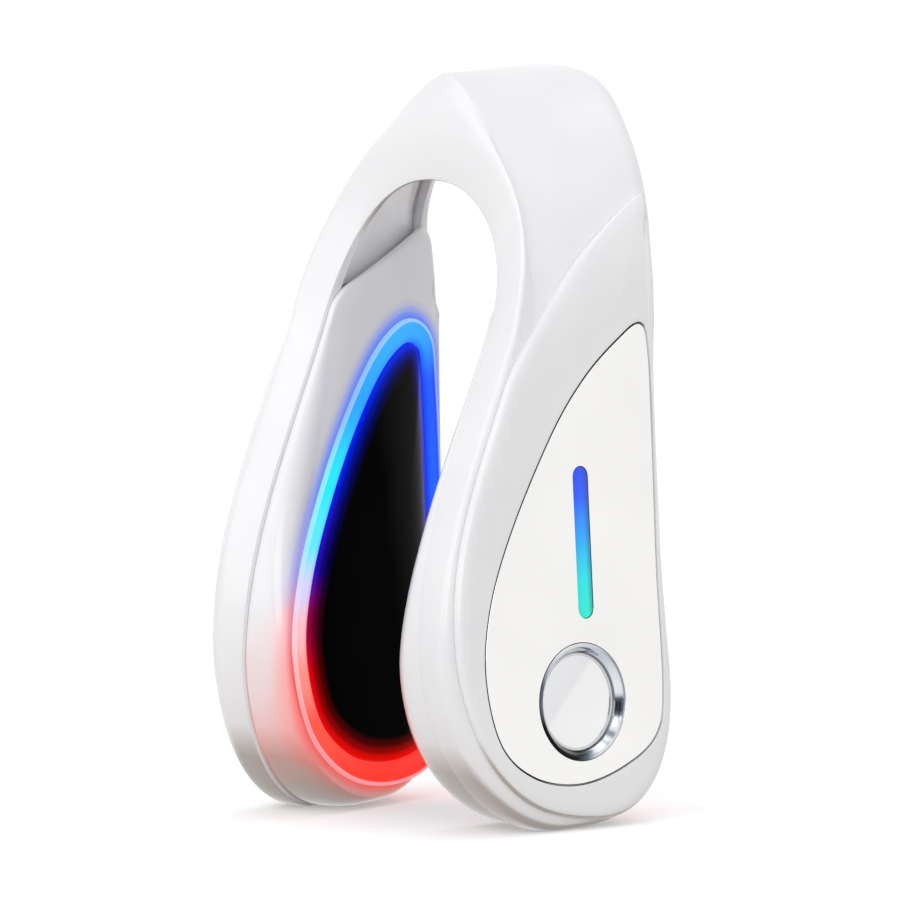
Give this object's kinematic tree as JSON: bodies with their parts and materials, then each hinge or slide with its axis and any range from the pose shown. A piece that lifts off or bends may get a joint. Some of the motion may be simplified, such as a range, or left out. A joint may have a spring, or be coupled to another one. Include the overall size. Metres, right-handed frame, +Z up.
{
  "type": "nasal beauty device",
  "caption": "Springy U-shaped nose clip: two teardrop arms with lit inner pads, a light bar and a round button on one arm.",
  "frame": {"origin": "centre of the bounding box's bottom face, between the two feet", "axes": "+X towards the arm with the button, -Y towards the bulging front edge, +Z up through the arch"},
  "size_m": [0.039, 0.0351, 0.0709],
  "materials": {
    "white_plastic": "glossy white ABS",
    "mirror_white": "mirror-gloss white lacquer",
    "black_gloss": "glossy black",
    "light_guide": "translucent, lit",
    "chrome": "polished",
    "steel": "plain",
    "weight_metal": "plain",
    "circuit_board": "solder mask",
    "light_chip": "clear",
    "chip_black": "matte",
    "battery_foil": "satin foil",
    "cable_foil": "film",
    "lead_red": "insulated wire"
  },
  "bodies": {
    "bridge": {"frame_bridge": "white_plastic", "bridge_liner": "white_plastic", "bridge_cable": "cable_foil"},
    "arm_right": {"frame_arm_right": "white_plastic", "neck_liner_right": "white_plastic", "outer_cover_right": "white_plastic", "face_plate_right": "mirror_white", "inner_cover_right": "white_plastic", "light_ring_right": "light_guide", "contact_pad_right": "black_gloss", "led_board_right": "circuit_board", "leds_right": "light_chip", "cover_screws_right": "steel", "motor_base_right": "steel", "motor_can_right": "steel", "main_board": "circuit_board", "board_chips": "chip_black", "tact_switch": "steel", "charging_port": "steel", "bar_leds": "light_chip", "bar_lens": "light_guide", "button_dish": "chrome"},
    "arm_left": {"frame_arm_left": "white_plastic", "neck_liner_left": "white_plastic", "outer_cover_left": "white_plastic", "face_plate_left": "mirror_white", "inner_cover_left": "white_plastic", "light_ring_left": "light_guide", "contact_pad_left": "black_gloss", "led_board_left": "circuit_board", "leds_left": "light_chip", "cover_screws_left": "steel", "motor_base_left": "steel", "motor_can_left": "steel", "battery": "battery_foil", "battery_tape": "chip_black", "battery_leads": "lead_red"},
    "button": {"button_cap": "white_plastic", "switch_plunger": "chip_black"},
    "weight_right": {"motor_weight_right": "weight_metal"},
    "weight_left": {"motor_weight_left": "weight_metal"}
  },
  "joints": [
    {"name": "arm_right_flex", "type": "hinge", "parent": "bridge", "child": "arm_right", "pos_m": [0.01019, 0.00474, 0.06225], "axis": [-0.2068, -0.9452, -0.2527], "range_deg": [-2, 10], "stiffness_Nm_per_rad": 0.7},
    {"name": "arm_left_flex", "type": "hinge", "parent": "bridge", "child": "arm_left", "pos_m": [-0.01019, 0.00474, 0.06225], "axis": [-0.2068, 0.9452, 0.2527], "range_deg": [-2, 10], "stiffness_Nm_per_rad": 0.7},
    {"name": "button_press", "type": "slide", "parent": "arm_right", "child": "button", "axis": [-0.9904, 0.1216, -0.0663], "range_m": [0, 0.0005], "stiffness_N_per_m": 3000},
    {"name": "motor_right_spin", "type": "hinge", "parent": "arm_right", "child": "weight_right", "pos_m": [0.01268, 0.0028, 0.04207], "axis": [0.9904, -0.1216, 0.0663], "continuous": true},
    {"name": "motor_left_spin", "type": "hinge", "parent": "arm_left", "child": "weight_left", "pos_m": [-0.01268, 0.0028, 0.04207], "axis": [-0.9904, -0.1216, 0.0663], "continuous": true}
  ],
  "couplings": [
    {"joint": "arm_left_flex", "follows": "arm_right_flex", "ratio": 1}
  ]
}
